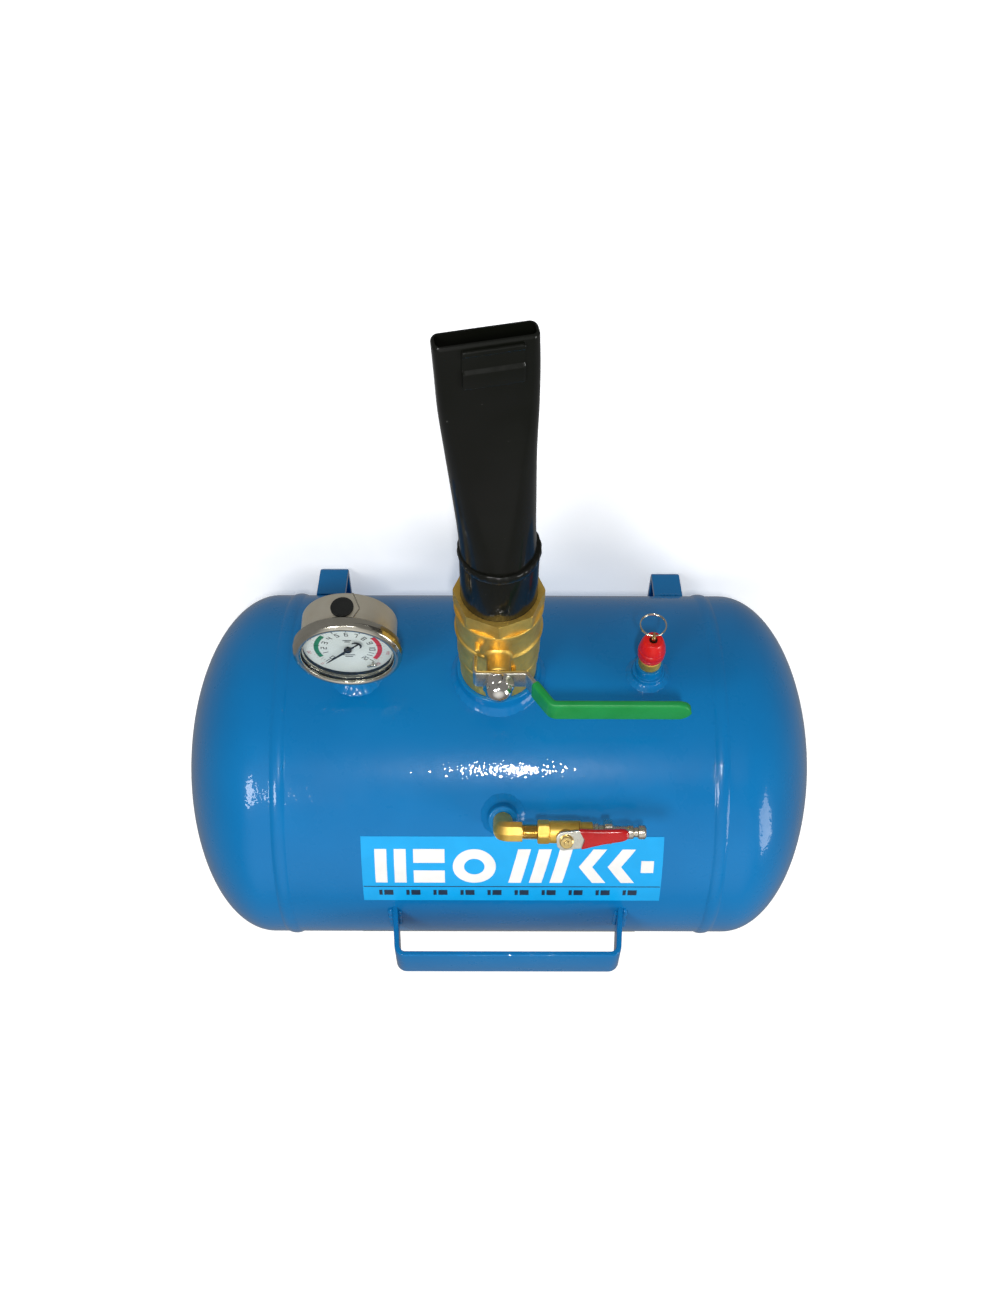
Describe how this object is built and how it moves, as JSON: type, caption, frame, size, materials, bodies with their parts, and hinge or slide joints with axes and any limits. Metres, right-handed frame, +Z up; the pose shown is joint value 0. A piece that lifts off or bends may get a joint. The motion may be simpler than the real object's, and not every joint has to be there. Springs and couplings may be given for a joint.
{
  "type": "bead seater blaster tank",
  "caption": "Portable welded air tank with carrying handle and strap feet, front ball valve with flattened blow nozzle, pressure gauge, safety valve and air inlet",
  "frame": {"origin": "on the floor plane under the middle of the overall box", "axes": "+Z up to the handle, -Y the way the nozzle points, X along the tank, +X the gauge side"},
  "size_m": [0.452, 0.5621, 0.296],
  "materials": {
    "blue_paint": "gloss enamel over steel",
    "black_paint": "high gloss black enamel over steel",
    "brass": "tumbled forged brass",
    "zinc_plate": "bright zinc plate",
    "chrome": "polished",
    "stainless": "fine brushed stainless steel",
    "bezel_steel": "polished stainless steel",
    "green_vinyl": "dipped vinyl, satin",
    "red_vinyl": "dipped vinyl, satin",
    "red_anodised": "red anodised",
    "ptfe": "smooth",
    "black_rubber": "matte",
    "glass": "clear, flat",
    "dial_white": "satin white enamel, printed",
    "pointer_black": "matte black",
    "label_film": "printed vinyl film",
    "plated_steel": "nickel plated"
  },
  "bodies": {
    "tank": {"tank_shell": "blue_paint", "head_left": "blue_paint", "head_right": "blue_paint", "seam_weld_left": "blue_paint", "seam_weld_right": "blue_paint", "valve_boss": "blue_paint", "gauge_boss": "blue_paint", "safety_boss": "blue_paint", "inlet_boss": "blue_paint", "valve_boss_weld": "blue_paint", "gauge_boss_weld": "blue_paint", "safety_boss_weld": "blue_paint", "inlet_boss_weld": "blue_paint", "carry_handle": "blue_paint", "handle_weld_left": "blue_paint", "handle_weld_right": "blue_paint", "foot_left": "blue_paint", "foot_right": "blue_paint", "front_label": "label_film", "back_label": "label_film", "valve_tail": "brass", "valve_body": "brass", "seat_front": "ptfe", "seat_rear": "ptfe", "stem_packing": "ptfe", "gland_ring": "brass", "barrel_nipple": "black_paint", "nozzle_tube": "black_paint", "barrel_weld": "black_paint", "rim_stop": "black_paint", "gauge_case": "stainless", "gauge_bezel": "bezel_steel", "gauge_lens": "glass", "gauge_seal": "black_rubber", "gauge_dial": "dial_white", "gauge_movement": "brass", "gauge_socket": "brass", "bourdon_tube": "brass", "fill_plug": "black_rubber", "safety_body": "brass", "safety_cap": "red_anodised", "inlet_elbow": "brass", "inlet_valve_body": "brass", "inlet_valve_cap": "brass", "quick_plug": "plated_steel"},
    "main_lever": {"valve_ball": "chrome", "valve_stem": "brass", "valve_lever": "zinc_plate", "lever_grip": "green_vinyl", "lever_washer": "chrome", "lever_nut": "chrome"},
    "gauge_needle": {"gauge_pointer": "pointer_black"},
    "safety_rod": {"safety_stem": "brass"},
    "safety_ring": {"pull_ring": "chrome"},
    "inlet_lever_body": {"inlet_ball": "chrome", "inlet_stem": "brass", "inlet_lever": "zinc_plate", "inlet_grip": "red_vinyl", "inlet_nut": "brass"}
  },
  "joints": [
    {"name": "main_valve_turn", "type": "hinge", "parent": "tank", "child": "main_lever", "pos_m": [0.0012, -0.0315, 0.137], "axis": [0, 0, 1], "range_deg": [0, 90]},
    {"name": "gauge_needle_turn", "type": "hinge", "parent": "tank", "child": "gauge_needle", "pos_m": [0.097, -0.0272, 0.137], "axis": [0, 0, -1], "range_deg": [0, 270], "stiffness_Nm_per_rad": 0.002},
    {"name": "safety_pull", "type": "slide", "parent": "tank", "child": "safety_rod", "axis": [0, -1, 0], "range_m": [0, 0.003], "stiffness_N_per_m": 1500, "springref_m": -0.002},
    {"name": "safety_ring_swing", "type": "hinge", "parent": "safety_rod", "child": "safety_ring", "pos_m": [-0.1, -0.0155, 0.1366], "axis": [-1, 0, 0], "range_deg": [-10, 100]},
    {"name": "inlet_valve_turn", "type": "hinge", "parent": "tank", "child": "inlet_lever_body", "pos_m": [-0.042, 0.04328, 0.24872], "axis": [0, -0.6293, 0.7771], "range_deg": [0, 90]}
  ]
}
